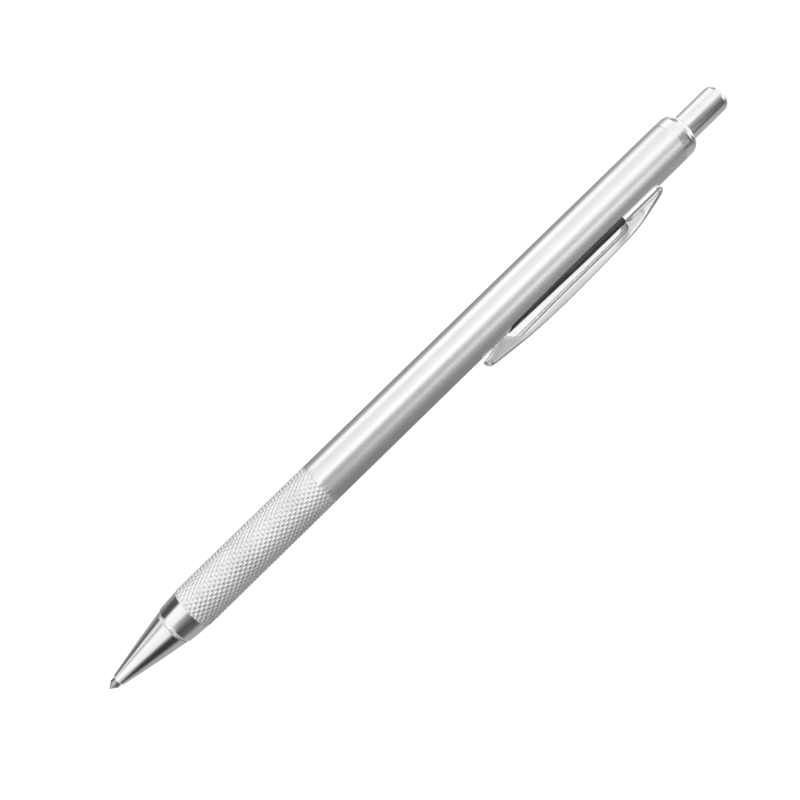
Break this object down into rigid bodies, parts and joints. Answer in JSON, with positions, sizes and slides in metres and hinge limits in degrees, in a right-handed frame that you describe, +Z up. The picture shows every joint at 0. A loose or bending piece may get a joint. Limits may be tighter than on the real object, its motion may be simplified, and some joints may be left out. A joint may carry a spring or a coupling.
{
  "type": "pen-style carbide scriber",
  "caption": "Pen-shaped metal scriber: fine carbide needle in a tapered nose, diamond-knurled grip, plain barrel, folded pocket clip and a rear push button that opens the collet.",
  "frame": {"origin": "the scribing point, on the tool's axis", "axes": "+X along the tool from the point to the push button, +Z up with the tool lying on a bench on its barrel and one edge of its clip, clip towards -Y"},
  "size_m": [0.1425, 0.011, 0.008],
  "materials": {
    "stainless_tube": "fine circumferential satin, rolled diamond knurl on the grip",
    "chrome": "polished chrome plate",
    "clip_steel": "bright nickel-plated sheet steel",
    "carbide": "ground tungsten carbide, dark satin grey",
    "brass": "turned and sawn brass, hidden inside",
    "spring_steel": "drawn spring wire, hidden inside",
    "tube_aluminium": "drawn tube, hidden inside"
  },
  "bodies": {
    "holder": {"barrel": "stainless_tube", "front_ferrule": "chrome", "end_cap": "chrome", "clip_base": "clip_steel"},
    "nose": {"nose_cone": "chrome"},
    "plunger": {"push_button": "chrome", "push_tube": "tube_aluminium", "collet_body": "brass", "return_spring": "spring_steel"},
    "jaw_top": {"jaw_1": "brass"},
    "jaw_left": {"jaw_2": "brass"},
    "jaw_right": {"jaw_3": "brass"},
    "point": {"needle": "carbide"},
    "clip": {"clip_arm": "clip_steel"}
  },
  "joints": [
    {"name": "button_press", "type": "slide", "parent": "holder", "child": "plunger", "axis": [-1, 0, 0], "range_m": [0, 0.003], "stiffness_N_per_m": 700, "springref_m": -0.002, "deforming": ["return_spring"]},
    {"name": "nose_unscrew", "type": "hinge", "parent": "holder", "child": "nose", "pos_m": [0.0143, 0, 0], "axis": [1, 0, 0], "range_deg": [0, 1800]},
    {"name": "needle_slide", "type": "slide", "parent": "plunger", "child": "point", "axis": [-1, 0, 0], "range_m": [-0.0025, 0.008]},
    {"name": "clip_flex", "type": "hinge", "parent": "holder", "child": "clip", "pos_m": [0.1134, -0.00607, -0.00233], "axis": [0, -0.3584, 0.9336], "range_deg": [0, 4], "stiffness_Nm_per_rad": 6, "springref_deg": -2.86},
    {"name": "jaw_top_open", "type": "hinge", "parent": "plunger", "child": "jaw_top", "pos_m": [0.0269, 0.00145, 0], "axis": [0, 0, -1], "range_deg": [0, 1.2]},
    {"name": "jaw_left_open", "type": "hinge", "parent": "plunger", "child": "jaw_left", "pos_m": [0.0269, -0.00072, 0.00126], "axis": [0, 0.866, 0.5], "range_deg": [0, 1.2]},
    {"name": "jaw_right_open", "type": "hinge", "parent": "plunger", "child": "jaw_right", "pos_m": [0.0269, -0.00072, -0.00126], "axis": [0, -0.866, 0.5], "range_deg": [0, 1.2]}
  ],
  "couplings": [
    {"joint": "jaw_top_open", "follows": "button_press", "rad_per_m": 6.9464},
    {"joint": "jaw_left_open", "follows": "button_press", "rad_per_m": 6.9464},
    {"joint": "jaw_right_open", "follows": "button_press", "rad_per_m": 6.9464}
  ]
}
